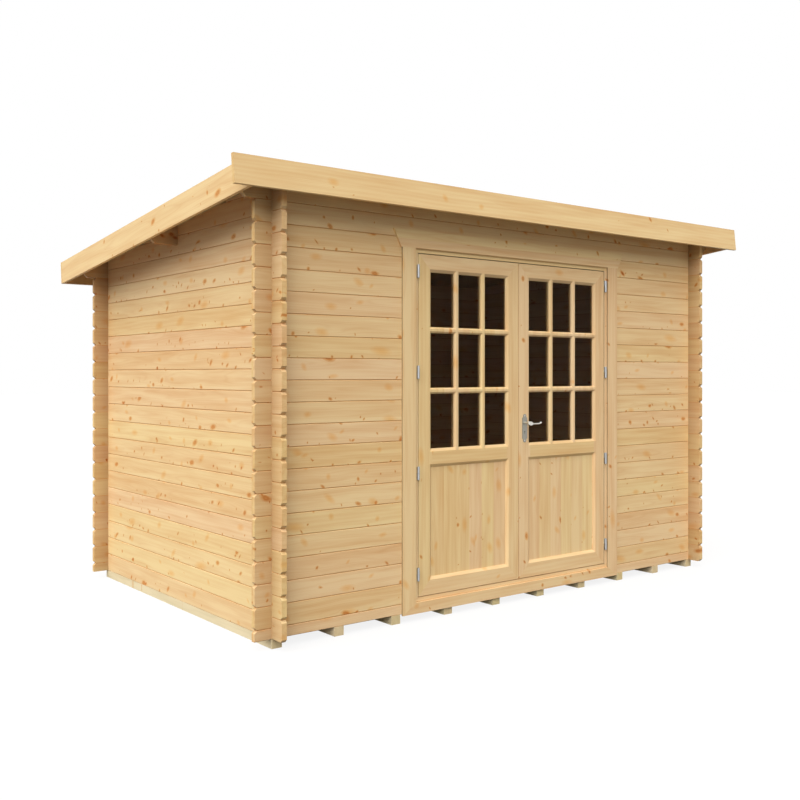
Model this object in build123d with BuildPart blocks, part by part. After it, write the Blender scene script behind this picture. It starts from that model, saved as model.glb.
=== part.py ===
"""Log cabin with a single-slope roof and a pair of half-glazed doors, in millimetres, +Z up.

The walls are separate logs whose ends cross at the corners. The side walls start with a whole log and
the front and back walls with half a log, so every crossing is half a log out of step, and each log is
notched a quarter of its height above and below, which locks the four walls together.

+X runs to the right along the front wall and +Y from the front wall to the back wall. The origin is on
the ground, below the middle of the roof.
"""

import os
from math import atan, ceil, cos, sin, tan

from build123d import *

# Walls
wall_length = 3490.0  # front and back walls, over their side faces
wall_depth = 2230.0  # side walls, from front face to back face
log_height = 114.0
log_thickness = 30.0
log_projection = 98.0  # log ends beyond the wall that they cross
end_bevel = 15.0  # on the upper and lower corners of each log end
joint_chamfer = 3.5  # along the outer edges of each log, which makes a V at every joint
notch_clearance = 0.3  # on each side of a log in a notch
front_courses = 19  # whole logs in the front wall, under the top log
back_courses = 17

# Ground and floor
bearer_count = 10
bearer_width = 60.0
bearer_height = 49.0
floor_thickness = 18.0
floor_clearance = 2.0  # between the floor and the walls

# Roof
deck_thickness = 18.0
front_overhang = 164.0  # along the slope, wall face to the face of the front fascia
back_overhang = 287.0
side_overhang = 217.0  # wall face to the face of a barge board
fascia_extra = 86.0  # front fascia beyond each barge board
edge_board_thickness = 20.0  # fascias and barge boards
edge_board_height = 148.0
edge_board_drop = 107.0  # below the underside of the deck
roof_log_bevel = 55.0  # under the ends of the logs that carry the deck
wedge_tip = 6.0  # height at which a tapered log ends

# Doorway and frame
leaf_width = 788.5
leaf_height = 1940.0
leaf_thickness = 40.0
leaf_gap = 5.0  # around each leaf, and behind it
sill_thickness = 21.0
jamb_thickness = 44.0
frame_depth = 58.0
frame_lap = 40.0  # of the frame over the inside of the logs
frame_clearance = 2.0  # between the log ends and the frame
lap_clearance = 0.5  # between the frame's lap and the logs
stop_height = 15.5  # of the stop that the leaves close towards
head_lap = 78.0  # of the frame's head up the inside of the log above
settling_gap = 30.0  # least gap over the frame, for the logs to shrink into

# Outside trim
trim_thickness = 12.0
trim_width = 93.0
trim_reveal = 24.0  # frame left in sight inside the trim
trim_drop = 8.0  # below the logs
head_trim_height = 100.0
head_trim_end = 9.5  # beyond the side trims at its lower edge
head_trim_flare = 51.0  # and further out at its upper edge

# Door leaves
stile_width = 98.0  # with its moulding, like the top rail
middle_rail_height = 104.0
bottom_rail_height = 100.0
lower_panel_height = 628.0
moulding_width = 16.0  # bevel around the glass and the panel, on both faces
moulding_depth = 12.0
panel_thickness = 12.0
glass_thickness = 4.0
sheet_seat = 8.0  # of the glass and the panel in their grooves
groove_depth = 9.0
groove_clearance = 0.2  # on each face of a sheet in its groove
bar_width = 34.0
bar_face = 14.0  # flat between the bevels of a bar
bar_bevel = 8.0  # depth of the bevels
panes_across = 3
panes_up = 3

# Hinges
hinge_count = 4
hinge_height = 74.0
hinge_radius = 7.0
hinge_spacing = 571.0
lowest_hinge = 128.0  # its middle, above the foot of the leaf
hinge_reach = 9.0  # axis beyond the edge of the leaf
hinge_proud = 9.0  # axis in front of the leaf
pin_radius = 3.0
pin_length = 20.0
pin_clearance = 0.1
knuckle_gap = 1.0
strap_thickness = 2.5
strap_depth = 32.0  # along the edge of the leaf
lug_width = 8.0

# Handle
handle_height = 958.0  # spindle above the foot of the leaf
handle_inset = 48.0  # spindle from the edge of the leaf
plate_width = 42.0
plate_height = 175.0
plate_tip = 22.0  # height of each narrower, rounded end
plate_tip_width = 26.0
plate_thickness = 3.0
plate_rise = 54.0  # of the plate above the spindle
key_drop = 56.0  # keyhole below the spindle
key_radius = 4.0
key_slot = 12.0
key_slot_width = 3.5
neck_radius = 8.0
neck_length = 36.0  # from the face of the leaf to the lever
neck_clearance = 0.1  # in the plate
neck_gap = 0.5  # to the leaf
spindle_width = 8.0  # square
spindle_bore_radius = 7.0
lever_thickness = 11.0
lever_hub = 9.0  # beyond and above the spindle
lever_root = 34.0  # spindle to the slender part
lever_height = 8.0  # of the slender part
lever_dip = 6.0  # of the slender part below the spindle
lever_reach = 88.0  # spindle to the curl at the end
lever_curl = 22.0  # length of the curl
lever_leaf = 8.0  # height of the rounded leaf under the root
lever_rounding = 3.5  # at every corner of the outline
lever_edge = 2.5  # chamfer around its outer face

# Heights and slope that follow
half_log = log_height / 2
quarter_log = log_height / 4
floor_level = bearer_height
first_joint = floor_level + half_log  # top of the half log in the front and back walls
front_top = first_joint + (front_courses + 1) * log_height
back_top = first_joint + (back_courses + 1) * log_height
pitch = atan((front_top - back_top) / (wall_depth - log_thickness))
slope_length = wall_depth / cos(pitch)

# Plan positions that follow
edge_board_rise = edge_board_height - edge_board_drop
roof_front = -front_overhang * cos(pitch) - edge_board_drop * sin(pitch)
roof_back = wall_depth + back_overhang * cos(pitch) + edge_board_rise * sin(pitch)
front_face = -(roof_front + roof_back) / 2
back_face = front_face + wall_depth
left_face = -wall_length / 2
right_face = wall_length / 2

# Each wall is the plane of its outer face, and the way that its logs are extruded from it
front_wall = (Plane.XZ.offset(-front_face), -log_thickness)
back_wall = (Plane.XZ.offset(-back_face), log_thickness)
left_wall = (Plane.YZ.offset(left_face), log_thickness)
right_wall = (Plane.YZ.offset(right_face), -log_thickness)

# Underside of the deck: x along the front, y down the slope, z square to it
roof_plane = Plane(
    origin=(0, front_face, front_top), x_dir=(1, 0, 0), z_dir=(0, sin(pitch), cos(pitch))
)

# Doorway
frame_inside = leaf_width + 1.5 * leaf_gap  # half the width between the jambs
frame_outside = frame_inside + jamb_thickness
sill_top = first_joint + sill_thickness
leaf_foot = sill_top + leaf_gap
head_level = leaf_foot + leaf_height + leaf_gap
doorway_half = frame_outside + frame_clearance
doorway_top = head_level + jamb_thickness + settling_gap
door_courses = ceil((doorway_top - first_joint) / log_height)  # whole logs that the doorway cuts
trim_inside = frame_inside + trim_reveal
trim_outside = trim_inside + trim_width
trim_foot = floor_level - trim_drop
trim_head = head_level + trim_reveal


def log(wall, start, end, foot, height, below=(), above=(), bevel_start=True, bevel_end=True,
        foot_bevel=True, bevel=end_bevel):
    """One log of a wall, with a notch at each crossing in below and above."""
    outer_face, thickness = wall
    width = log_thickness + 2 * notch_clearance
    corners = [start] * bevel_start + [end] * bevel_end
    levels = [foot] * foot_bevel + [foot + height]
    with BuildPart() as piece:
        with BuildSketch(outer_face):
            with Locations((start, foot)):
                Rectangle(end - start, height, align=(Align.MIN, Align.MIN))
            for corner in corners:
                for level in levels:
                    with Locations((corner, level)):
                        Rectangle(bevel * 2 ** 0.5, bevel * 2 ** 0.5, rotation=45, mode=Mode.SUBTRACT)
            for crossing in below:
                with Locations((crossing - notch_clearance, foot)):
                    Rectangle(width, quarter_log, align=(Align.MIN, Align.MIN), mode=Mode.SUBTRACT)
            for crossing in above:
                with Locations((crossing - notch_clearance, foot + height)):
                    Rectangle(width, quarter_log, align=(Align.MIN, Align.MAX), mode=Mode.SUBTRACT)
        extrude(amount=thickness)
        inwards = outer_face.z_dir * (thickness / log_thickness)
        outside = piece.faces().sort_by(Axis(outer_face.origin, inwards))[0]
        along = outside.edges().filter_by(Axis(outer_face.origin, outer_face.x_dir))
        lower = along.filter_by_position(Axis.Z, foot - 1, foot + 1)
        upper = along.filter_by_position(Axis.Z, foot + height - 1, foot + height + 1)
        chamfer(lower + upper, joint_chamfer)
    return piece.part


def under_roof(piece):
    """The piece, cut off along the underside of the deck."""
    with BuildPart() as cut:
        add(piece)
        split(bisect_by=roof_plane, keep=Keep.BOTTOM)
    return cut.part


def course(number, foot):
    """Height of the foot of a whole log."""
    return foot + number * log_height


def save(builder, name):
    """Label a finished piece and write it."""
    builder.part.label = name
    export_step(builder.part, f"parts/{name}.step")


os.makedirs("parts", exist_ok=True)

# Crossings: where the side walls meet a log that runs along X, and the front and back walls one along Y
side_crossings = (left_face, right_face - log_thickness)
front_crossing = front_face
back_crossing = back_face - log_thickness
end_crossings = (front_crossing, back_crossing)
purlin_face = (front_crossing + back_crossing) / 2
front_end = front_face - log_projection
back_end = back_face + log_projection
left_end = left_face - log_projection
right_end = right_face + log_projection

# Bearers, from the front face to the back face
bearer_pitch = (wall_length - bearer_width) / (bearer_count - 1)
with BuildPart() as floor_bearers:
    with BuildSketch():
        with Locations((0, (front_face + back_face) / 2)):
            with GridLocations(bearer_pitch, 0, bearer_count, 1):
                Rectangle(bearer_width, wall_depth)
    extrude(amount=bearer_height)
save(floor_bearers, "floor_bearers")

# Floor, between the walls
with BuildPart() as floor_deck:
    with BuildSketch(Plane.XY.offset(floor_level)):
        with Locations((0, (front_face + back_face) / 2)):
            inset = 2 * (log_thickness + floor_clearance)
            Rectangle(wall_length - inset, wall_depth - inset)
    extrude(amount=floor_thickness)
save(floor_deck, "floor_deck")

# Side walls: whole logs up to the slope, then three that the roof cuts
side_whole = back_courses + 1
top_foot = course(side_whole, floor_level)  # the last log that reaches the back wall
wedge_foot = top_foot + log_height
peak_foot = wedge_foot + log_height


def wedge_end(foot):
    """Where a log under the slope is down to the height of its tip."""
    return front_face + (front_top - foot - wedge_tip) / tan(pitch)


for name, wall in (("left", left_wall), ("right", right_wall)):
    whole = log(wall, front_end, back_end, 0, log_height, end_crossings, end_crossings)
    long_log = under_roof(
        log(wall, front_end, back_end, top_foot, log_height, end_crossings, (front_crossing, purlin_face))
    )
    wedge = under_roof(
        log(wall, front_end, wedge_end(wedge_foot), wedge_foot, log_height,
            (front_crossing, purlin_face), (front_crossing,), bevel_end=False)
    )
    peak = under_roof(
        log(wall, front_end, wedge_end(peak_foot), peak_foot, log_height, (front_crossing,), (),
            bevel_end=False)
    )
    with BuildPart() as odd_logs:
        with Locations([(0, 0, course(n, floor_level)) for n in range(0, side_whole, 2)]):
            add(whole)
        add(long_log)
        add(peak)
    save(odd_logs, f"{name}_wall_odd_logs")
    with BuildPart() as even_logs:
        with Locations([(0, 0, course(n, floor_level)) for n in range(1, side_whole, 2)]):
            add(whole)
        add(wedge)
    save(even_logs, f"{name}_wall_even_logs")

# Back wall: half a log, then whole ones
back_half = log(back_wall, left_end, right_end, floor_level, half_log, (), side_crossings, foot_bevel=False)
back_whole = log(back_wall, left_end, right_end, 0, log_height, side_crossings, side_crossings)
with BuildPart() as back_wall_odd_logs:
    add(back_half)
    with Locations([(0, 0, course(n, first_joint)) for n in range(1, back_courses, 2)]):
        add(back_whole)
save(back_wall_odd_logs, "back_wall_odd_logs")
with BuildPart() as back_wall_even_logs:
    with Locations([(0, 0, course(n, first_joint)) for n in range(0, back_courses, 2)]):
        add(back_whole)
save(back_wall_even_logs, "back_wall_even_logs")

# Front wall: a half log, short logs on both sides of the doorway, and whole ones over it
with BuildPart() as front_sill_log:
    add(log(front_wall, left_end, right_end, floor_level, half_log, (), side_crossings,
            foot_bevel=False))
save(front_sill_log, "front_sill_log")
short_left = log(front_wall, left_end, -doorway_half, 0, log_height, side_crossings[:1],
                 side_crossings[:1], bevel_end=False)
short_right = log(front_wall, doorway_half, right_end, 0, log_height, side_crossings[1:],
                  side_crossings[1:], bevel_start=False)
for name, short in (("left", short_left), ("right", short_right)):
    for kind, first in (("even", 0), ("odd", 1)):
        with BuildPart() as short_logs:
            with Locations([(0, 0, course(n, first_joint)) for n in range(first, door_courses, 2)]):
                add(short)
        save(short_logs, f"front_{name}_{kind}_logs")
front_whole = log(front_wall, left_end, right_end, 0, log_height, side_crossings, side_crossings)
with BuildPart() as front_lintel_log:
    with Locations([(0, 0, course(n, first_joint)) for n in range(door_courses, front_courses)]):
        add(front_whole)
save(front_lintel_log, "front_lintel_log")

# The three logs that carry the deck reach out to the barge boards
deck_left = left_face - side_overhang + edge_board_thickness
deck_right = -deck_left
for name, wall, top in (
    ("front_top_log", front_wall, front_top),
    ("back_top_log", back_wall, back_top),
    ("middle_purlin", (Plane.XZ.offset(-purlin_face), -log_thickness), (front_top + back_top) / 2),
):
    carrier = log(wall, deck_left, deck_right, top - log_height, log_height, side_crossings,
                  side_crossings, bevel_start=False, bevel_end=False)
    with BuildPart() as roof_log:
        add(carrier)
        with BuildSketch(wall[0]):
            for corner in (deck_left, deck_right):
                with Locations((corner, top - log_height)):
                    side = roof_log_bevel * 2 ** 0.5
                    Rectangle(side, side, rotation=45)
        extrude(amount=wall[1], mode=Mode.SUBTRACT)
        split(bisect_by=roof_plane, keep=Keep.BOTTOM)
    save(roof_log, name)

# Roof deck, between the fascias and the barge boards
deck_start = -front_overhang + edge_board_thickness
deck_finish = slope_length + back_overhang - edge_board_thickness
with BuildPart() as roof_deck:
    with BuildSketch(roof_plane):
        with Locations((0, (deck_start + deck_finish) / 2)):
            Rectangle(deck_right - deck_left, deck_finish - deck_start)
    extrude(amount=deck_thickness)
save(roof_deck, "roof_deck")

# Fascias and barge boards stand square to the slope around the deck
board_plane = roof_plane.offset(-edge_board_drop)
barge_face = -left_face + side_overhang
for name, half_length, near in (
    ("front_fascia", barge_face + fascia_extra, deck_start - edge_board_thickness),
    ("back_fascia", barge_face, deck_finish),
):
    with BuildPart() as fascia:
        with BuildSketch(board_plane):
            with Locations((0, near)):
                Rectangle(2 * half_length, edge_board_thickness, align=(Align.CENTER, Align.MIN))
        extrude(amount=edge_board_height)
    save(fascia, name)
for name, near in (("left_barge_board", -barge_face), ("right_barge_board", deck_right)):
    with BuildPart() as barge:
        with BuildSketch(board_plane):
            with Locations((near, (deck_start + deck_finish) / 2)):
                Rectangle(edge_board_thickness, deck_finish - deck_start, align=(Align.MIN, Align.CENTER))
        extrude(amount=edge_board_height)
    save(barge, name)

# Door frame: jambs, head and sill, each with a stop and a lap over the inside of the logs
stop_inside = frame_inside - stop_height
stop_front = leaf_thickness + leaf_gap
lap_front = log_thickness + lap_clearance
lap_outside = frame_outside + frame_lap
with BuildPart() as door_jambs:
    with BuildSketch(Plane.XY.offset(sill_top)):
        with BuildLine():
            Polyline(
                (frame_inside, front_face),
                (frame_outside, front_face),
                (frame_outside, front_face + lap_front),
                (lap_outside, front_face + lap_front),
                (lap_outside, front_face + frame_depth),
                (stop_inside, front_face + frame_depth),
                (stop_inside, front_face + stop_front),
                (frame_inside, front_face + stop_front),
                close=True,
            )
        make_face()
        mirror(about=Plane.YZ)
    extrude(amount=head_level - sill_top)
save(door_jambs, "door_jambs")


def frame_member(level, body_height, lap_foot, lap_height, stop_foot):
    """Head or sill: a body between the log ends, a wider lap behind it, and a stop."""
    with BuildPart() as member:
        with BuildSketch(Plane.XY.offset(level)):
            with Locations((0, front_face)):
                Rectangle(2 * frame_outside, frame_depth, align=(Align.CENTER, Align.MIN))
        extrude(amount=body_height)
        with BuildSketch(Plane.XY.offset(lap_foot)):
            with Locations((0, front_face + lap_front)):
                Rectangle(2 * lap_outside, frame_depth - lap_front, align=(Align.CENTER, Align.MIN))
        extrude(amount=lap_height)
        with BuildSketch(Plane.XY.offset(stop_foot)):
            with Locations((0, front_face + stop_front)):
                Rectangle(2 * stop_inside, frame_depth - stop_front, align=(Align.CENTER, Align.MIN))
        extrude(amount=stop_height)
    return member


floor_top = floor_level + floor_thickness
save(
    frame_member(head_level, jamb_thickness, head_level, jamb_thickness + head_lap,
                 head_level - stop_height),
    "door_head",
)
save(
    frame_member(first_joint, sill_thickness, floor_top, sill_top - floor_top, sill_top),
    "door_sill",
)

# Outside trim, on the face of the logs and the frame, with mitred lower corners
trim_plane = Plane.XZ.offset(-front_face)
bottom_trim_top = sill_top - trim_reveal
with BuildPart() as side_door_trims:
    with BuildSketch(trim_plane):
        with BuildLine():
            Polyline(
                (trim_inside, bottom_trim_top),
                (trim_outside, trim_foot),
                (trim_outside, trim_head),
                (trim_inside, trim_head),
                close=True,
            )
        make_face()
        mirror(about=Plane.YZ)
    extrude(amount=trim_thickness)
save(side_door_trims, "side_door_trims")
with BuildPart() as bottom_door_trim:
    with BuildSketch(trim_plane):
        with BuildLine():
            Polyline(
                (-trim_outside, trim_foot),
                (trim_outside, trim_foot),
                (trim_inside, bottom_trim_top),
                (-trim_inside, bottom_trim_top),
                close=True,
            )
        make_face()
    extrude(amount=trim_thickness)
save(bottom_door_trim, "bottom_door_trim")
with BuildPart() as head_door_trim:
    with BuildSketch(trim_plane):
        with BuildLine():
            low = trim_outside + head_trim_end
            high = low + head_trim_flare
            Polyline(
                (-low, trim_head),
                (low, trim_head),
                (high, trim_head + head_trim_height),
                (-high, trim_head + head_trim_height),
                close=True,
            )
        make_face()
    extrude(amount=trim_thickness)
save(head_door_trim, "head_door_trim")

# Door leaves
leaf_plane = Plane.XZ.offset(-(front_face + leaf_thickness))  # extruded towards the front
opening_width = leaf_width - 2 * stile_width
panel_foot = leaf_foot + bottom_rail_height
panel_head = panel_foot + lower_panel_height
glass_foot = panel_head + middle_rail_height
glass_head = leaf_foot + leaf_height - stile_width
glass_height = glass_head - glass_foot
glass_middle = (glass_foot + glass_head) / 2
leaf_middle = front_face + leaf_thickness / 2
leaf_centre_plane = Plane.XZ.offset(-leaf_middle)
bar_depth = (leaf_thickness - glass_thickness) / 2
pane_pitch_x = (opening_width + bar_width) / panes_across
pane_pitch_z = (glass_height + bar_width) / panes_up

# Section of a glazing bar, with its flat back on the glass and a bevel along both front edges
with BuildSketch() as bar_section:
    with BuildLine():
        Polyline(
            (-bar_width / 2, 0),
            (bar_width / 2, 0),
            (bar_width / 2, bar_depth - bar_bevel),
            (bar_face / 2, bar_depth),
            (-bar_face / 2, bar_depth),
            (-bar_width / 2, bar_depth - bar_bevel),
            close=True,
        )
    make_face()

handed_leaf = "right_door"
spindle_x = leaf_gap / 2 + handle_inset
spindle_z = leaf_foot + handle_height
for name, sign in (("left_door", -1), ("right_door", 1)):
    middle = sign * (leaf_width + leaf_gap) / 2
    with BuildPart() as leaf:
        with BuildSketch(leaf_plane):
            with Locations((middle, leaf_foot)):
                Rectangle(leaf_width, leaf_height, align=(Align.CENTER, Align.MIN))
            for foot, height in ((panel_foot, lower_panel_height), (glass_foot, glass_height)):
                with Locations((middle, foot)):
                    Rectangle(opening_width, height, align=(Align.CENTER, Align.MIN), mode=Mode.SUBTRACT)
        extrude(amount=leaf_thickness)
        for end in (0, -1):
            face = leaf.faces().filter_by(Axis.Y).sort_by(Axis.Y)[end]
            rims = ShapeList(edge for wire in face.inner_wires() for edge in wire.edges())
            chamfer(rims, moulding_width, moulding_depth, reference=face)

    # A grid of bars on each side of the glass, with their ends fitted over the moulding
    with BuildPart() as bars:
        upright = Plane(
            origin=(middle, leaf_middle - glass_thickness / 2, glass_foot - moulding_width),
            x_dir=(1, 0, 0),
            z_dir=(0, 0, 1),
        )
        with BuildSketch(upright):
            with GridLocations(pane_pitch_x, 0, panes_across - 1, 1):
                add(bar_section.sketch, rotation=180)
        extrude(amount=glass_height + 2 * moulding_width)
        level = Plane(
            origin=(
                middle - opening_width / 2 - moulding_width,
                leaf_middle - glass_thickness / 2,
                glass_middle,
            ),
            x_dir=(0, 0, 1),
            z_dir=(1, 0, 0),
        )
        with BuildSketch(level):
            with GridLocations(pane_pitch_z, 0, panes_up - 1, 1):
                add(bar_section.sketch)
        extrude(amount=opening_width + 2 * moulding_width)
        mirror(about=leaf_centre_plane)
        add(leaf.part, mode=Mode.SUBTRACT)
    save(bars, f"{name}_bars")

    # Grooves, and a bore for the spindle in the leaf that has the handle
    with BuildPart() as grooved:
        add(leaf.part)
        for foot, height, thickness in (
            (panel_foot, lower_panel_height, panel_thickness),
            (glass_foot, glass_height, glass_thickness),
        ):
            with BuildSketch(leaf_centre_plane):
                with Locations((middle, foot + height / 2)):
                    Rectangle(opening_width + 2 * groove_depth, height + 2 * groove_depth)
            extrude(amount=thickness / 2 + groove_clearance, both=True, mode=Mode.SUBTRACT)
        if name == handed_leaf:
            with BuildSketch(leaf_centre_plane):
                with Locations((spindle_x, spindle_z)):
                    Circle(spindle_bore_radius)
            extrude(amount=leaf_thickness, both=True, mode=Mode.SUBTRACT)

    # The stiles meet the top and bottom rails in mitres, and the middle rail butts between them
    left_edge = middle - leaf_width / 2
    right_edge = middle + leaf_width / 2
    leaf_head = leaf_foot + leaf_height
    with BuildPart() as rails:
        add(grooved.part)
        with BuildSketch(leaf_plane):
            with BuildLine():
                Polyline(
                    (left_edge, leaf_foot),
                    (right_edge, leaf_foot),
                    (right_edge - stile_width, panel_foot),
                    (right_edge - stile_width, glass_head),
                    (right_edge, leaf_head),
                    (left_edge, leaf_head),
                    (left_edge + stile_width, glass_head),
                    (left_edge + stile_width, panel_foot),
                    close=True,
                )
            make_face()
        extrude(amount=leaf_thickness, mode=Mode.INTERSECT)
    save(rails, f"{name}_rails")
    with BuildPart() as stiles:
        add(grooved.part)
        add(rails.part, mode=Mode.SUBTRACT)
    save(stiles, f"{name}_stiles")

    for sheet_name, foot, height, thickness in (
        ("panel", panel_foot, lower_panel_height, panel_thickness),
        ("glass", glass_foot, glass_height, glass_thickness),
    ):
        with BuildPart() as sheet:
            with BuildSketch(leaf_centre_plane):
                with Locations((middle, foot + height / 2)):
                    Rectangle(opening_width + 2 * sheet_seat, height + 2 * sheet_seat)
            extrude(amount=thickness / 2, both=True)
        save(sheet, f"{name}_{sheet_name}")

# Hinges: a lower knuckle with a pin on the jamb, an upper one on a strap along the leaf's edge
leaf_edge = leaf_width + leaf_gap / 2
axis_x = leaf_edge + hinge_reach
axis_y = front_face - hinge_proud
knuckle_height = (hinge_height - knuckle_gap) / 2
hinge_levels = [leaf_foot + lowest_hinge + n * hinge_spacing for n in range(hinge_count)]
with BuildPart() as jamb_hinges:
    for level in hinge_levels:
        with BuildSketch(Plane.XY.offset(level - hinge_height / 2)):
            with Locations((axis_x, axis_y), (-axis_x, axis_y)):
                Circle(hinge_radius)
                Rectangle(lug_width, hinge_proud, align=(Align.CENTER, Align.MIN))
        extrude(amount=knuckle_height)
        with BuildSketch(Plane.XY.offset(level - knuckle_gap / 2)):
            with Locations((axis_x, axis_y), (-axis_x, axis_y)):
                Circle(pin_radius)
        extrude(amount=pin_length)
save(jamb_hinges, "jamb_hinges")
for name, sign in (("left", -1), ("right", 1)):
    with BuildPart() as upper:
        for level in hinge_levels:
            with BuildSketch(Plane.XY.offset(level + knuckle_gap / 2)):
                with Locations((sign * axis_x, axis_y)):
                    Circle(hinge_radius)
                strap_front = front_face - hinge_proud / 2
                with Locations((sign * (leaf_edge + axis_x) / 2, strap_front)):
                    Rectangle(hinge_reach, strap_thickness)
                with Locations((sign * (leaf_edge + strap_thickness / 2), strap_front)):
                    Rectangle(strap_thickness, strap_depth, align=(Align.CENTER, Align.MIN))
            extrude(amount=knuckle_height)
            with BuildSketch(Plane.XY.offset(level + knuckle_gap / 2)):
                with Locations((sign * axis_x, axis_y)):
                    Circle(pin_radius + pin_clearance)
            extrude(amount=pin_length, mode=Mode.SUBTRACT)
    save(upper, f"{name}_door_hinges")

# Handle: a plate on each face of the leaf, and a lever on each end of the spindle
with BuildPart() as handle_plates:
    with BuildSketch(trim_plane):
        with Locations((spindle_x, spindle_z + plate_rise - plate_height / 2)):
            Rectangle(plate_width, plate_height - 2 * plate_tip)
            SlotOverall(plate_height, plate_tip_width, rotation=90)
        with Locations((spindle_x, spindle_z)):
            Circle(neck_radius + neck_clearance, mode=Mode.SUBTRACT)
        with Locations((spindle_x, spindle_z - key_drop)):
            Circle(key_radius, mode=Mode.SUBTRACT)
            Rectangle(key_slot_width, key_slot, align=(Align.CENTER, Align.MAX), mode=Mode.SUBTRACT)
    extrude(amount=plate_thickness)
    mirror(about=leaf_centre_plane)
save(handle_plates, "right_door_handle_plates")

lever_plane = Plane(
    origin=(spindle_x, front_face - neck_length, spindle_z), x_dir=(1, 0, 0), z_dir=(0, -1, 0)
)
slender_top = lever_height / 2 - lever_dip
slender_foot = -lever_height / 2 - lever_dip
with BuildPart() as door_levers:
    with BuildSketch(lever_plane):
        with BuildLine():
            FilletPolyline(
                (-lever_hub, lever_hub),
                (lever_root / 2, lever_hub),
                (lever_root, slender_top),
                (lever_reach, slender_top),
                (lever_reach + lever_curl - lever_height, lever_dip),
                (lever_reach + lever_curl, lever_dip - lever_height),
                (lever_reach, slender_foot),
                (lever_root, slender_foot),
                (lever_root / 2, -lever_hub - lever_leaf),
                (-lever_hub, -lever_hub),
                radius=lever_rounding,
                close=True,
            )
        make_face()
    extrude(amount=lever_thickness)
    chamfer(door_levers.faces().sort_by(Axis.Y)[0].edges(), lever_edge)
    with BuildSketch(trim_plane.offset(neck_gap)):
        with Locations((spindle_x, spindle_z)):
            Circle(neck_radius)
    extrude(amount=neck_length - neck_gap)
    mirror(about=leaf_centre_plane)
    with BuildSketch(trim_plane.offset(neck_gap)):
        with Locations((spindle_x, spindle_z)):
            Rectangle(spindle_width, spindle_width)
    extrude(amount=-leaf_thickness - 2 * neck_gap)
save(door_levers, "right_door_levers")
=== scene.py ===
"""Looks for a log cabin of planed spruce with half-glazed double doors, in metres."""

import math

import bpy
import numpy as np
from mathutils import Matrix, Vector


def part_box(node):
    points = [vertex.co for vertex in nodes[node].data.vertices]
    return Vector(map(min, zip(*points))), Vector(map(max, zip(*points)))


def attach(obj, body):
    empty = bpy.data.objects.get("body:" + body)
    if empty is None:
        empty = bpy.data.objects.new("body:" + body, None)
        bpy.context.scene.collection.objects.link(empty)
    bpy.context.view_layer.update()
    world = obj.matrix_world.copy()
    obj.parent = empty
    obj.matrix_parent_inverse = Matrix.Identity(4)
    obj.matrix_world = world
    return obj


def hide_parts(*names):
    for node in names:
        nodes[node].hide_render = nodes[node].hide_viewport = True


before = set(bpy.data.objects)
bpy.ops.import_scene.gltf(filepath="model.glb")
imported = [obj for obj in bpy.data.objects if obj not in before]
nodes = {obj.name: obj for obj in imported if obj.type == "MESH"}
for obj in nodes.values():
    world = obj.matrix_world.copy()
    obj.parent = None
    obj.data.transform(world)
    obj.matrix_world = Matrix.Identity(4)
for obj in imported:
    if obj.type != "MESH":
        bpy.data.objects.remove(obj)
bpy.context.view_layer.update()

# Logs: their cover height, the height of one joint in each kind of wall, the middle of each kind of wall
# along its logs with half its length over the crossing walls, how far log ends reach past a crossing, and
# half the width of the dark line in a joint
COURSE = 0.114
LONG_WALL_JOINT, SIDE_WALL_JOINT = 0.106, 0.049
LONG_WALL, SIDE_WALL = (0.0, 1.745), (-0.05777, 1.115)
LOG_PROJECTION = 0.098
LOG_SEAM = 0.0016

# Roof: the front wall's face and top, the slope, and where the boards start along it from that face
FRONT_FACE, FRONT_TOP = -1.17277, 2.386
ROOF_FALL, ROOF_RUN = 0.228, 2.2
PITCH = math.atan(ROOF_FALL / ROOF_RUN)
DECK_START, DECK_LENGTH, DECK_THICKNESS = -0.144, 2.65408, 0.018

# Boards fill the places of the model's plain roof and floor plates
DECK_BOARDS, DECK_GROOVE, DECK_SEAM = 44, 0.004, 0.0012
FLOOR_BOARDS, FLOOR_GROOVE, FLOOR_SEAM = 20, 0.002, 0.001
deck_lo, deck_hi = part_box("roof_deck")
floor_lo, floor_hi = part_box("floor_deck")
DECK_PITCH = (deck_hi.x - deck_lo.x) / DECK_BOARDS
FLOOR_PITCH = (floor_hi.y - floor_lo.y) / FLOOR_BOARDS

# Doors: the frame's planed depth behind the front wall's face, the handle plates with their screws, and
# the hole of the lock behind them
LEAF_THICKNESS = 0.045
FRAME_REBATE = FRONT_FACE + 0.002
PANEL_BOARD = 0.0985
PLATE_X = 0.0505
PLATE_FOOT, PLATE_TOP = 0.969, 1.144
PLATE_FACES = -1.17577, -1.12977
SCREW_INSET, SCREW_RADIUS, SCREW_RISE = 0.011, 0.0038, 0.0012
KEYHOLE_Z, KEYHOLE_WIDTH, KEYHOLE_HEIGHT = 1.0275, 0.012, 0.028

# The pattern's width and origin on joinery, bearers and the roof's edge boards. These have no joints inside
# a piece, so the width is one that holds most of them whole
UPRIGHTS = 0.2, 0.0
RAILS = 0.3, 0.05
EDGE_BOARDS = 0.4, 2.1
BEARERS = 0.3, 0.0

# Radians per metre of growth. Spruce's rings are 1 to 3 mm apart. These are 5.5 mm, in bands of 21 mm,
# because finer ones don't show in the picture
RING_RATE, BAND_RATE = 1140.0, 300.0

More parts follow.
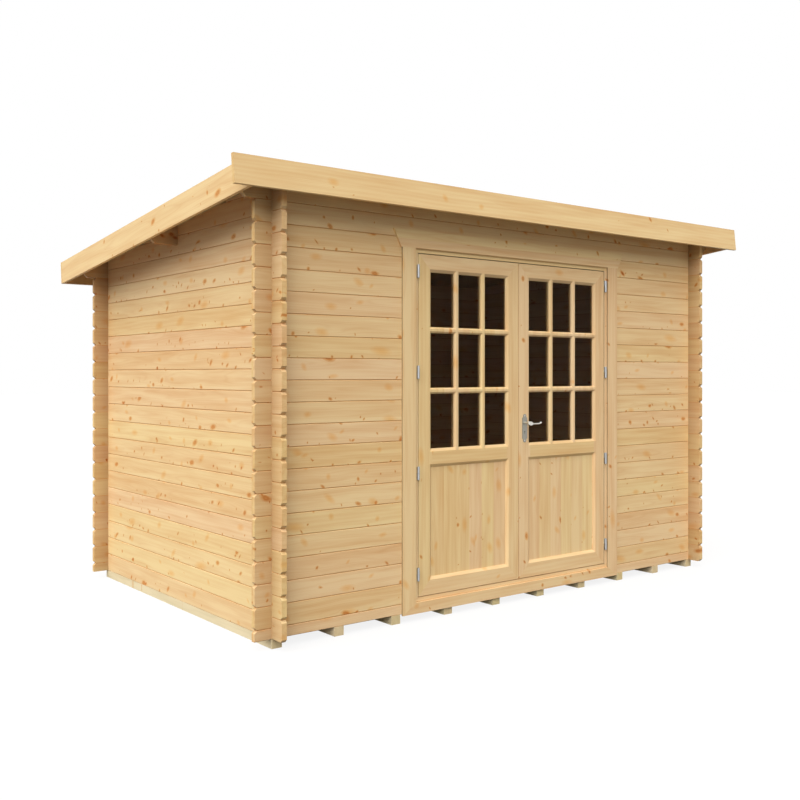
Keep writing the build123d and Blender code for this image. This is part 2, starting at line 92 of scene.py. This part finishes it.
# Kinds of knot: a shift along the grain that sets them apart, the length of a cell that may hold one, the
# least and greatest radius, the least and greatest length of the ellipse as a share of its height, and
# the colours that tint the wood from the heart outwards, where 0.4 is the rim and 1 is 2.5 radii away
KNOT_KINDS = {
    "haze": (21.7, 0.36, (0.006, 0.014), (0.8, 2.6), ((0.0, "#FBE6C8"), (0.4, "#FDEEDA"), (1.0, "#FFFFFF"))),
    "broad": (
        0.0,
        0.20,
        (0.004, 0.0105),
        (0.7, 2.0),
        ((0.0, "#EAC39C"), (0.3, "#E0B084"), (0.42, "#E6BB92"), (0.62, "#F6DEC0"), (1.0, "#FFFFFF")),
    ),
    "pin": (
        9.3,
        0.085,
        (0.002, 0.0065),
        (0.5, 1.5),
        ((0.0, "#DCAE88"), (0.36, "#E2B892"), (0.62, "#F4DCC2"), (1.0, "#FFFFFF")),
    ),
}
HAZE_SHARE = 0.7


def linear(code):
    """sRGB hex colour as linear red, green, blue and alpha."""
    rgb = np.array([int(code[i : i + 2], 16) for i in (1, 3, 5)]) / 255
    return (*np.where(rgb <= 0.04045, rgb / 12.92, ((rgb + 0.055) / 1.055) ** 2.4), 1.0)


def add(tree, kind, *values, sockets=(), **settings):
    """A shader node of a kind, with its settings and links.

    values fill its inputs in their order, and sockets fills them by name or number: 6 and 7 are a Mix
    node's two colours, and its output 2 is the mixed one. A value is a number, a colour, an output, or a
    node whose first output is meant.
    """
    made = tree.nodes.new("ShaderNode" + kind)
    for key, setting in settings.items():
        setattr(made, key, setting)
    for key, value in [*enumerate(values), *dict(sockets).items()]:
        if isinstance(value, bpy.types.Node):
            value = value.outputs[0]
        if isinstance(value, bpy.types.NodeSocket):
            tree.links.new(value, made.inputs[key])
        else:
            made.inputs[key].default_value = value
    return made


def blank(name):
    """A new material with a Principled shader, its tree and that shader."""
    made = bpy.data.materials.new(name)
    made.use_nodes = True
    return made, made.node_tree, made.node_tree.nodes["Principled BSDF"]


def knots_of(tree, far, row, inside, board, wobble, run, sizes, share, longer):
    """How near a point is to a knot, as a share of that knot's radius, and whether there is one.

    A knot is a leaning ellipse around the nearest point of a jittered grid, with one row of cells for each
    board. run is the length of a cell, sizes the least and greatest radius, share the part of the cells
    that hold a knot, and longer the least and greatest length of an ellipse along the grain, as a share
    of its height. The distance to the knot is the square root of the sum of two squares: the distance
    across the grain, and the distance along it divided by that length.
    """
    cell_x = add(tree, "Math", far, run, operation="DIVIDE")
    cell_y = add(tree, "Math", row, 7.0, inside, operation="MULTIPLY_ADD")
    cell = add(tree, "CombineXYZ", cell_x, cell_y, 0.0)
    grid = add(tree, "TexVoronoi", cell, sockets={"Scale": 1.0}, voronoi_dimensions="2D").outputs
    offset = add(tree, "VectorMath", cell, grid["Position"], operation="SUBTRACT")
    luck = add(tree, "SeparateColor", grid["Color"]).outputs
    span = add(tree, "SeparateXYZ", offset).outputs
    short, long = longer
    stretch = add(tree, "Math", luck[2], 2.0, operation="POWER")
    stretch = add(tree, "Math", stretch, long - short, short, operation="MULTIPLY_ADD")
    rise = add(tree, "Math", span[1], board, operation="MULTIPLY")
    lean = add(tree, "Math", luck[0], 1.6, -0.8, operation="MULTIPLY_ADD")
    lean = add(tree, "Math", rise, lean, operation="MULTIPLY")
    along = add(tree, "Math", span[0], run, lean, operation="MULTIPLY_ADD")
    along = add(tree, "Math", along, stretch, operation="DIVIDE")
    along = add(tree, "Math", along, 2.0, operation="POWER")
    rise = add(tree, "Math", rise, 2.0, operation="POWER")
    away = add(tree, "Math", along, rise, operation="ADD")
    away = add(tree, "Math", away, operation="SQRT")
    away = add(tree, "Math", away, wobble, operation="ADD")
    small, large = sizes
    radius = add(tree, "Math", luck[0], 1.6, operation="POWER")
    radius = add(tree, "Math", radius, large - small, small, operation="MULTIPLY_ADD")
    there = add(tree, "Math", luck[1], share, operation="LESS_THAN")
    return add(tree, "Math", away, radius, operation="DIVIDE"), there


def spruce(
    name,
    axes,
    board,
    joint,
    pale="#F5DFB3",
    warm="#E0B580",
    tint=0.35,
    knots=0.5,
    slope=0.0,
    seed=0.0,
    seam=0.0,
    wall=None,
    rebate=None,
    keyhole=None,
):
    """Planed, unpainted spruce, which looks pale straw with faint streaks and orange-brown knots.

    axes names the directions along the grain, across the board and into it. The board that a point is on
    is its distance across, less joint, divided by board and rounded down. Growth rings are the distance
    from a pith behind the face, pushed out by slow noise and by each knot. The colour lies between pale
    and warm, tint is how far whole boards differ in it, and knots is how common knots are. slope turns
    the pattern about x, for boards that lie along the roof, seed sets the boards of one material apart
    from another's, and seam is half the width of the line in a joint.

    wall is the middle of a wall along its logs, half its length over the crossing walls and how dark the
    painted shade on the sides of the log ends past that is. rebate is the depth at which the planed face
    ends:
    behind it, as far as a leaf's thickness, and on the edges that face along the wall, a painted shade
    stands for the shade in the gaps round a leaf and beside the trims. keyhole is the middle of a lock's
    hole, behind its plate, where the wood is painted black, a painted shade for the depth of the hole.
    """
    made, tree, shader = blank(name)
    coordinates = add(tree, "TexCoord").outputs
    place = coordinates["Object"]
    turned = add(tree, "Mapping", place, sockets={"Rotation": (slope, 0, 0)}) if slope else place
    split = add(tree, "SeparateXYZ", turned).outputs
    along, across, into = (split["XYZ".index(axis)] for axis in axes)

    # Which board a point is on, and random numbers of its own. side sets opposite walls apart
    rows = add(tree, "Math", across, joint, operation="SUBTRACT")
    rows = add(tree, "Math", rows, board, operation="DIVIDE")
    row = add(tree, "Math", rows, operation="FLOOR")
    inside = add(tree, "Math", rows, row, operation="SUBTRACT")
    side = add(tree, "Math", into, 1.3, operation="MULTIPLY")
    side = add(tree, "Math", side, operation="ROUND")
    key = add(tree, "CombineXYZ", row, side, seed)
    chance = add(tree, "TexWhiteNoise", key, noise_dimensions="3D").outputs["Color"]
    dice = add(tree, "SeparateColor", chance).outputs
    far = add(tree, "Math", dice[0], 40.0, along, operation="MULTIPLY_ADD")

    def streaks(lengthwise, crosswise, detail):
        """Noise drawn out along the grain. Its two scales are one over a streak's length and its width."""
        long_way = add(tree, "Math", far, lengthwise, operation="MULTIPLY")
        short_way = add(tree, "Math", across, crosswise, operation="MULTIPLY")
        deep_way = add(tree, "Math", into, crosswise, operation="MULTIPLY")
        spot = add(tree, "CombineXYZ", long_way, short_way, deep_way)
        return add(tree, "TexNoise", spot, sockets={"Scale": 1.0, "Detail": detail})

    # Knots, more common in stretches about 770 mm long, and a faint warm haze that has no knot in it. Noise
    # 11 mm across makes their rims uneven by 3 mm
    rough = add(tree, "TexNoise", place, sockets={"Scale": 90.0, "Detail": 2.0})
    wobble = add(tree, "Math", rough, 0.006, -0.003, operation="MULTIPLY_ADD")
    crowd = add(tree, "Math", streaks(1.3, 5.0, 1.0), 3.0, -1.0, operation="MULTIPLY_ADD")
    crowd = add(tree, "Math", crowd, knots, operation="MULTIPLY")
    found, blushes = {}, []
    for kind, (shift, run, sizes, longer, steps) in KNOT_KINDS.items():
        later = add(tree, "Math", far, shift, operation="ADD")
        share = HAZE_SHARE if kind == "haze" else crowd
        ratio, there = knots_of(tree, later, row, inside, board, wobble, run, sizes, share, longer)
        blush = add(tree, "ValToRGB", add(tree, "Math", ratio, 0.4, operation="MULTIPLY"))
        ramp = blush.color_ramp.elements
        while len(ramp) < len(steps):
            ramp.new(0.5)
        for step, (spot, code) in zip(ramp, steps):
            step.position, step.color = spot, linear(code)
        found[kind] = ratio, there
        blushes.append((there, blush.outputs[0], "MULTIPLY"))

    # A broad knot pushes the rings out, by e to the power of minus a fifth of its ratio squared
    ratio, there = found["broad"]
    push = add(tree, "Math", ratio, 2.0, operation="POWER")
    push = add(tree, "Math", push, -0.2, operation="MULTIPLY")
    push = add(tree, "Math", push, operation="EXPONENT")
    push = add(tree, "Math", push, there, operation="MULTIPLY")

    # Growth rings and the bands that they leave along the grain, each a sine of the distance from the pith,
    # which drifts over about 900 by 110 mm. Patches are 450 by 40 mm. Fibres are 170 by 4 mm, coarser than
    # real ones, which don't show in the picture
    drift = streaks(1.1, 9.0, 2.0)
    depth = add(tree, "Math", dice[1], 0.05, 0.03, operation="MULTIPLY_ADD")
    depth = add(tree, "Math", depth, 2.0, operation="POWER")
    height = add(tree, "Math", inside, dice[2], operation="SUBTRACT")
    height = add(tree, "Math", height, board, operation="MULTIPLY")
    height = add(tree, "Math", height, 2.0, operation="POWER")
    ring = add(tree, "Math", depth, height, operation="ADD")
    ring = add(tree, "Math", ring, operation="SQRT")
    ring = add(tree, "Math", drift, 0.05, ring, operation="MULTIPLY_ADD")
    ring = add(tree, "Math", push, 0.010, ring, operation="MULTIPLY_ADD")
    waves = []
    for rate in (RING_RATE, BAND_RATE):
        wave = add(tree, "Math", ring, rate, operation="MULTIPLY")
        wave = add(tree, "Math", wave, operation="SINE")
        waves.append(add(tree, "Math", wave, 0.5, 0.5, operation="MULTIPLY_ADD"))
    late, band = add(tree, "Math", waves[0], 2.5, operation="POWER"), waves[1]
    fibre, patch = streaks(6.0, 260.0, 3.0), streaks(2.2, 24.0, 1.0)

    # Place between pale and warm: heartwood on one side of a slow line, then a share of the board's own
    # tone, the rings, bands, fibres and patches, each less the last number
    level = add(tree, "Math", dice[1], -0.25, operation="ADD")
    level = add(tree, "Math", drift, 0.5, level, operation="MULTIPLY_ADD")
    heart = add(tree, "Math", inside, level, operation="GREATER_THAN")
    tone = add(tree, "Math", heart, 0.13, operation="MULTIPLY")
    shares = (
        (dice[0], tint, 0.06),
        (late, 0.16, 0.0),
        (band, 0.14, 0.0),
        (fibre, 0.34, 0.17),
        (patch, 1.0, 0.5),
    )
    for part, weight, less in shares:
        tone = add(tree, "Math", tone, less, operation="SUBTRACT")
        tone = add(tree, "Math", part, weight, tone, operation="MULTIPLY_ADD")

    # Layers of colour, each an amount, a colour and the way that it is laid on: the warm end, a yellow or
    # a pink cast, the knots, and end grain, which is a little duller
    casts = {6: linear("#FFF8E4"), 7: linear("#FFF2EC")}
    cast = add(tree, "Mix", dice[2], sockets=casts, data_type="RGBA").outputs[2]
    normal = add(tree, "SeparateXYZ", coordinates["Normal"]).outputs
    end = add(tree, "Math", normal["XYZ".index(axes[0])], operation="ABSOLUTE")
    end = add(tree, "Math", end, 4.0, operation="POWER")
    dull = add(tree, "Math", end, 0.9, operation="MULTIPLY")
    layers = [(tone, linear(warm), "MIX"), (1.0, cast, "MULTIPLY"), *blushes]
    layers.append((dull, linear("#F6F0E2"), "MULTIPLY"))
    if wall:
        # Painted shade on the sides of log ends past a corner, darkest at the wall
        middle, half, dark = wall
        past = add(tree, "Math", along, middle, operation="SUBTRACT")
        past = add(tree, "Math", past, operation="ABSOLUTE")
        past = add(tree, "Math", past, half, operation="SUBTRACT")
        painted_stub_shade = add(tree, "Math", past, 0.0, operation="GREATER_THAN")
        shade = add(tree, "MapRange", past, 0.0, LOG_PROJECTION, dark + 0.2, dark - 0.2)
        painted_stub_shade = add(tree, "Math", painted_stub_shade, shade, operation="MULTIPLY")
        flank = add(tree, "Math", 1.0, end, operation="SUBTRACT")
        painted_stub_shade = add(tree, "Math", painted_stub_shade, flank, operation="MULTIPLY")
        layers.append((painted_stub_shade, linear("#BDB6B0"), "MULTIPLY"))
    if rebate:
        # Painted shade of the gaps round a leaf and beside the trims, on the wood behind the planed face, as
        # deep as a leaf, and on the edges that face along the wall
        behind = add(tree, "Math", into, rebate, operation="SUBTRACT")
        near = add(tree, "Math", behind, 0.0, operation="GREATER_THAN")
        back = add(tree, "Math", behind, LEAF_THICKNESS, operation="LESS_THAN")
        deep = add(tree, "Math", near, back, operation="MULTIPLY")
        edgewise = add(tree, "Math", normal[0], operation="ABSOLUTE")
        edgewise = add(tree, "Math", edgewise, 0.9, operation="GREATER_THAN")
        sawn = add(tree, "Math", deep, edgewise, operation="MAXIMUM")
        layers.append((sawn, linear("#BBBDC0"), "MULTIPLY"))
    if keyhole:
        # Painted shade: the wood behind the plate's keyhole is painted near black, for the shade in the
        # depth of the hole
        painted_bore_shade = 1.0
        for part, middle, size in zip((across, along), keyhole, (KEYHOLE_WIDTH, KEYHOLE_HEIGHT)):
            off = add(tree, "Math", part, middle, operation="SUBTRACT")
            off = add(tree, "Math", off, operation="ABSOLUTE")
            off = add(tree, "Math", off, size / 2, operation="LESS_THAN")
            painted_bore_shade = add(tree, "Math", painted_bore_shade, off, operation="MULTIPLY")
        layers.append((painted_bore_shade, linear("#17130F"), "MIX"))
    if seam:
        edge = add(tree, "Math", 1.0, inside, operation="SUBTRACT")
        edge = add(tree, "Math", inside, edge, operation="MINIMUM")
        line = add(tree, "Math", edge, seam / board, operation="LESS_THAN")
        line = add(tree, "Math", line, 0.8, operation="MULTIPLY")
        layers.append((line, linear("#BC7E40"), "MIX"))
    colour = linear(pale)
    for amount, layer, way in layers:
        pair = {6: colour, 7: layer}
        colour = add(tree, "Mix", amount, sockets=pair, data_type="RGBA", blend_type=way).outputs[2]
    tree.links.new(colour, shader.inputs["Base Color"])

    # Late wood is harder, so it is a little glossier and stands a little proud
    gloss = add(tree, "Math", late, -0.08, 0.62, operation="MULTIPLY_ADD")
    gloss = add(tree, "Math", fibre, 0.08, gloss, operation="MULTIPLY_ADD")
    tree.links.new(gloss.outputs[0], shader.inputs["Roughness"])
    grain = add(tree, "Math", late, 0.5, fibre, operation="MULTIPLY_ADD")
    bump = add(tree, "Bump", sockets={"Strength": 0.25, "Distance": 0.0004, "Height": grain})
    tree.links.new(bump.outputs[0], shader.inputs["Normal"])
    shader.inputs["Specular IOR Level"].default_value = 0.25
    return made


def log_wood(name, axes, joint, wall, dark, seed):
    """The spruce of one wall's logs, with dark the depth of the painted shade on its log ends past a corner.
    """
    return spruce(name, axes, COURSE, joint, knots=0.7, seed=seed, seam=LOG_SEAM, wall=(*wall, dark))


# Log ends past a corner get a painted shade, deeper on the back and right walls than on the front and left
front_logs = log_wood("planed_spruce_front_logs", "XZY", LONG_WALL_JOINT, LONG_WALL, 0.55, 1)
back_logs = log_wood("planed_spruce_back_logs", "XZY", LONG_WALL_JOINT, LONG_WALL, 0.75, 11)
left_logs = log_wood("planed_spruce_left_logs", "YZX", SIDE_WALL_JOINT, SIDE_WALL, 0.5, 2)
right_logs = log_wood("planed_spruce_right_logs", "YZX", SIDE_WALL_JOINT, SIDE_WALL, 0.75, 12)
upright_joinery = spruce(
    "planed_spruce_uprights", "ZXY", *UPRIGHTS, tint=0.2, knots=0.4, seed=3, keyhole=(PLATE_X, KEYHOLE_Z)
)
# The door frame's two materials carry that painted shade of the gaps round the leaves and beside the trims
upright_frame = spruce(
    "planed_spruce_frame", "ZXY", *UPRIGHTS, tint=0.2, knots=0.3, seed=13, rebate=FRAME_REBATE
)
level_frame = spruce(
    "planed_spruce_frame_head", "XZY", *RAILS, tint=0.2, knots=0.25, seed=14, rebate=FRAME_REBATE
)
level_joinery = spruce("planed_spruce_rails", "XZY", *RAILS, tint=0.2, knots=0.25, seed=4)
panel_boards = spruce("planed_spruce_panels", "ZXY", PANEL_BOARD, 0.0, tint=0.25, knots=0.3, seed=5)
front_boards = spruce("planed_spruce_fascia", "XZY", *EDGE_BOARDS, tint=0.2, knots=0.8, seed=6)
barge_boards = spruce(
    "planed_spruce_barge_boards", "YZX", *EDGE_BOARDS, tint=0.2, knots=0.8, seed=7, slope=PITCH
)
# Roof boards are left as sawn, which looks duller and darker than planed wood
deck_boards = spruce(
    "sawn_spruce_roof_boards",
    "YXZ",
    DECK_PITCH,
    deck_lo.x,
    pale="#CDB98F",
    warm="#B4966C",
    seed=8,
    seam=DECK_SEAM,
)
floor_boards = spruce(
    "planed_spruce_floor_boards", "XYZ", FLOOR_PITCH, floor_lo.y, seed=9, seam=FLOOR_SEAM
)
# Bearers are treated under pressure with a salt that leaves the wood faintly green
green_bearers = spruce("pressure_treated_spruce", "YXZ", *BEARERS, pale="#F0EACB", warm="#D6CEA8", seed=10)


def plated(name, dark, light, scales, detail, roughness, spread):
    """A plated metal whose colour goes from dark to light, and its roughness by spread, with a noise.

    scales is the noise's scale per metre along each axis.
    """
    made, tree, shader = blank(name)
    place = add(tree, "TexCoord").outputs["Object"]
    scaled = add(tree, "Mapping", place, sockets={"Scale": scales})
    noise = add(tree, "TexNoise", scaled, sockets={"Scale": 1.0, "Detail": detail})
    ends = {6: linear(dark), 7: linear(light)}
    colour = add(tree, "Mix", noise, sockets=ends, data_type="RGBA")
    tree.links.new(colour.outputs[2], shader.inputs["Base Color"])
    gloss = add(tree, "Math", noise, spread, roughness, operation="MULTIPLY_ADD")
    tree.links.new(gloss.outputs[0], shader.inputs["Roughness"])
    shader.inputs["Metallic"].default_value = 1.0
    return made


# Zinc-plated steel, cold and mid grey with a soft blurred shine. Its crystals are too fine to show, so
# they are drawn about 1 mm wide
ZINC_GRAIN = (900.0, 900.0, 900.0), 3.0, 0.35, 0.2
steel = plated("zinc_plated_steel", "#9FA3A6", "#BFC3C6", *ZINC_GRAIN)

# Chromium plate over a brushed casting: slightly milky reflections in fine lines. The lines are drawn
# 0.4 mm apart, which is coarser than a brush leaves them, because finer ones don't show
BRUSH_LINES = (200.0, 200.0, 2500.0), 2.0, 0.30, 0.12
plate_chrome = plated("satin_chrome_plates", "#86847C", "#A8A59A", *BRUSH_LINES)
# The levers are a lighter copy of the plates' chrome, a painted highlight
highlit_lever_chrome = plated("chrome_levers_painted_highlight", "#C9C7C0", "#E3E1DA", *BRUSH_LINES)
screw_chrome = plated("satin_chrome_screws", "#B4B2AC", "#CCCAC4", *BRUSH_LINES)

# Float glass that keeps a little of the light, so the room behind it reads dark brown. Its IOR is well
# under real glass's 1.5, because the studio's white reflection would hide that room
glass, tree, shader = blank("float_glass")
shader.inputs["Base Color"].default_value = linear("#C0B8AF")
shader.inputs["Roughness"].default_value = 0.0
shader.inputs["IOR"].default_value = 1.1
shader.inputs["Transmission Weight"].default_value = 1.0

for name, node in nodes.items():
    if name == "floor_bearers":
        finish = green_bearers
    elif name.startswith("left_wall"):
        finish = left_logs
    elif name.startswith("right_wall"):
        finish = right_logs
    elif name.startswith(("back_wall", "back_top")):
        finish = back_logs
    elif name.endswith(("_logs", "_log")) or name == "middle_purlin":
        finish = front_logs
    elif "fascia" in name:
        finish = front_boards
    elif "barge" in name:
        finish = barge_boards
    elif "hinges" in name:
        finish = steel
    elif "handle" in name:
        finish = plate_chrome
    elif "lever" in name:
        finish = highlit_lever_chrome
    elif name.endswith("_glass"):
        finish = glass
    elif name.endswith("_panel"):
        finish = panel_boards
    elif name in ("door_jambs", "side_door_trims"):
        finish = upright_frame
    elif name == "door_head":
        finish = level_frame
    elif name.endswith(("_stiles", "_bars")):
        finish = upright_joinery
    else:
        finish = level_joinery
    node.data.materials.clear()
    node.data.materials.append(finish)


def piece_of(name, points, faces, finish):
    """A new object from points and faces, with its finish, at the origin."""
    mesh = bpy.data.meshes.new(name)
    mesh.from_pydata(points, [], faces)
    mesh.materials.append(finish)
    piece = bpy.data.objects.new(name, mesh)
    bpy.context.scene.collection.objects.link(piece)
    return piece


def boards(name, count, pitch, thickness, groove, length, origin, sides, finish):
    """A run of boards edge to edge.

    Each board's section is a rectangle with its two lower corners cut back by groove, which makes a V at
    every joint, and its two upper corners by a fifth of that. The section is carried straight along the
    board. sides holds three unit directions: across the run, along a board, and up through it.
    """
    top = groove / 5
    section = np.array([
        (0, groove), (groove, 0), (pitch - groove, 0), (pitch, groove),
        (pitch, thickness - top), (pitch - top, thickness), (top, thickness), (0, thickness - top),
    ])
    corners = len(section)
    board, end, corner = np.meshgrid(np.arange(count), (0, 1), np.arange(corners), indexing="ij")
    across, along, up = (np.array(side, float) for side in sides)
    spots = (
        np.array(origin)
        + (board * pitch + section[corner, 0])[..., None] * across
        + (end * length)[..., None] * along
        + section[corner, 1][..., None] * up
    ).reshape(-1, 3)
    first = (np.arange(count) * 2 * corners)[:, None]
    ring = np.arange(corners)
    after = (ring + 1) % corners
    walls = np.stack([first + ring, first + corners + ring, first + corners + after, first + after], -1)
    near, back = first + ring[::-1], first + corners + ring
    run = piece_of(name, spots, walls.reshape(-1, 4).tolist() + near.tolist() + back.tolist(), finish)
    if np.dot(np.cross(across, up), along) > 0:
        run.data.flip_normals()
    return run


down_slope = (0, math.cos(PITCH), -math.sin(PITCH))
square_up = (0, math.sin(PITCH), math.cos(PITCH))
roof = boards(
    "roof_boards",
    DECK_BOARDS,
    DECK_PITCH,
    DECK_THICKNESS,
    DECK_GROOVE,
    DECK_LENGTH,
    (deck_lo.x, FRONT_FACE + DECK_START * down_slope[1], FRONT_TOP + DECK_START * down_slope[2]),
    ((1, 0, 0), down_slope, square_up),
    deck_boards,
)
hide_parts("roof_deck")
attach(roof, "cabin")

floor = boards(
    "floor_boards",
    FLOOR_BOARDS,
    FLOOR_PITCH,
    floor_hi.z - floor_lo.z,
    FLOOR_GROOVE,
    floor_hi.x - floor_lo.x,
    (floor_lo.x, floor_lo.y, floor_lo.z),
    ((0, 1, 0), (1, 0, 0), (0, 0, 1)),
    floor_boards,
)
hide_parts("floor_deck")
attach(floor, "cabin")


def screw_heads(name, spots, radius, rise, finish):
    """Domed heads with a driver's slot, for spots of x, y, z and the way out, 1 or -1 along y.

    A head is a disc on polar coordinates r and t, with r as a share of its radius. Its height over the
    plate is rise times the square root of 1 - r squared, less the slot's depth where r times the sine of
    t is under half the slot's width.
    """
    rings, turns, inmost = 9, 48, 0.12
    slot_half, slot_end, slot_depth, lip = 0.14, 0.8, 0.55, 0.0001
    r, t = np.meshgrid(
        np.linspace(inmost, 1.0, rings), np.arange(turns) * 2 * np.pi / turns, indexing="ij"
    )
    lift = rise * np.sqrt(np.clip(1 - r**2, 0, 1)) + lip
    lift -= np.where((np.abs(r * np.sin(t)) < slot_half) & (r < slot_end), rise * slot_depth, 0.0)
    middle = np.array([[0.0, 0.0, rise * (1 - slot_depth)]])
    flat = np.stack([radius * r * np.cos(t), radius * r * np.sin(t), lift], -1).reshape(-1, 3)
    foot = flat[-turns:] * (1, 1, 0)
    head = np.concatenate([flat, foot, middle])
    ring, turn = np.meshgrid(np.arange(rings), np.arange(turns), indexing="ij")
    here, after = ring * turns + turn, ring * turns + (turn + 1) % turns
    quads = np.stack([here, here + turns, after + turns, after], -1).reshape(-1, 4)
    hub = len(head) - 1
    fan = np.stack([np.full(turns, hub), np.arange(turns), (np.arange(turns) + 1) % turns], -1)
    points, faces = [], []
    for x, y, z, way in spots:
        start = len(points) * len(head)
        points.append(np.stack([x + head[:, 0] * -way, y + way * head[:, 2], z + head[:, 1]], -1))
        faces += (quads + start).tolist() + (fan + start).tolist()
        faces.append((start + rings * turns + np.arange(turns)[::-1]).tolist())
    return piece_of(name, np.concatenate(points), faces, finish)


screws = screw_heads(
    "plate_screws",
    [
        (PLATE_X, face, z, way)
        for face, way in zip(PLATE_FACES, (-1, 1))
        for z in (PLATE_FOOT + SCREW_INSET, PLATE_TOP - SCREW_INSET)
    ],
    SCREW_RADIUS,
    SCREW_RISE,
    screw_chrome,
)
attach(screws, "right_door")


def seen_directly(tree):
    """1 for camera, glossy and transmission rays, 0 for the rays that carry light to the object."""
    path = add(tree, "LightPath").outputs
    either = add(tree, "Math", path["Is Camera Ray"], path["Is Glossy Ray"], operation="MAXIMUM")
    return add(tree, "Math", either, path["Is Transmission Ray"], operation="MAXIMUM")


# Stage: a pale floor just under the bearers, that reads as white where no shadow falls. Its own colour is
# dark, so that it throws little light back up, and the rays that see it directly get the rest
FLOOR_REACH, FLOOR_Z, FLOOR_COLOUR, FLOOR_GLOW = 60.0, -0.0005, 0.12, 0.86
paper, tree, shader = blank("pale_studio_floor")
shader.inputs["Base Color"].default_value = (FLOOR_COLOUR, FLOOR_COLOUR, FLOOR_COLOUR, 1)
shader.inputs["Roughness"].default_value = 1.0
shader.inputs["Specular IOR Level"].default_value = 0.0
shader.inputs["Emission Color"].default_value = (1, 1, 1, 1)
glow = add(tree, "Math", seen_directly(tree), FLOOR_GLOW, operation="MULTIPLY")
tree.links.new(glow.outputs[0], shader.inputs["Emission Strength"])
corners = [(x * FLOOR_REACH, y * FLOOR_REACH, FLOOR_Z) for x, y in ((-1, -1), (1, -1), (1, 1), (-1, 1))]
piece_of("stage_floor", corners, [(0, 1, 2, 3)], paper)

# Light: an even, slightly warm sky, one broad soft lamp from the left, in front and above, and a weaker
# one for the right and the back, which the camera of the photograph does not see. The sky is white at a
# strength of 1 where it is seen, and weaker where it lights the object
SKY_LIGHT = 0.36
world = bpy.data.worlds.new("studio")
bpy.context.scene.world = world
world.use_nodes = True
tree = world.node_tree
sky = tree.nodes["Background"]
seen = seen_directly(tree)
tints = {6: linear("#FFF7EA"), 7: linear("#FFFFFF")}
tint = add(tree, "Mix", seen, sockets=tints, data_type="RGBA")
tree.links.new(tint.outputs[2], sky.inputs["Color"])
strength = add(tree, "Math", seen, 1 - SKY_LIGHT, SKY_LIGHT, operation="MULTIPLY_ADD")
tree.links.new(strength.outputs[0], sky.inputs["Strength"])


def soft_sun(name, energy, spread, tilt, turn):
    """A broad, far lamp: tilt is its angle from straight down, turn the way that it shines, in degrees."""
    lamp = bpy.data.lights.new(name, "SUN")
    lamp.energy = energy
    lamp.angle = math.radians(spread)
    holder = bpy.data.objects.new(name, lamp)
    holder.rotation_euler = (math.radians(tilt), 0, math.radians(turn))
    bpy.context.scene.collection.objects.link(holder)


soft_sun("soft_key", energy=4.2, spread=75, tilt=39.6, turn=-57.3)
soft_sun("soft_fill", energy=1.6, spread=60, tilt=65, turn=135)

# Camera, level, with the horizon a little above the middle of the picture. Its place, turn and lens were
# solved from the log courses, corners, roof edges and doorway of the photograph
lens = bpy.data.cameras.new("camera")
lens.sensor_width = 36.0
lens.lens = 43.724
lens.shift_y = -0.0328
camera = bpy.data.objects.new("camera", lens)
camera.location = (-4.2426, -5.45197, 1.3928)
camera.rotation_euler = (math.pi / 2, 0, -0.6596)
bpy.context.scene.collection.objects.link(camera)
bpy.context.scene.camera = camera
bpy.context.scene.view_settings.view_transform = "Standard"
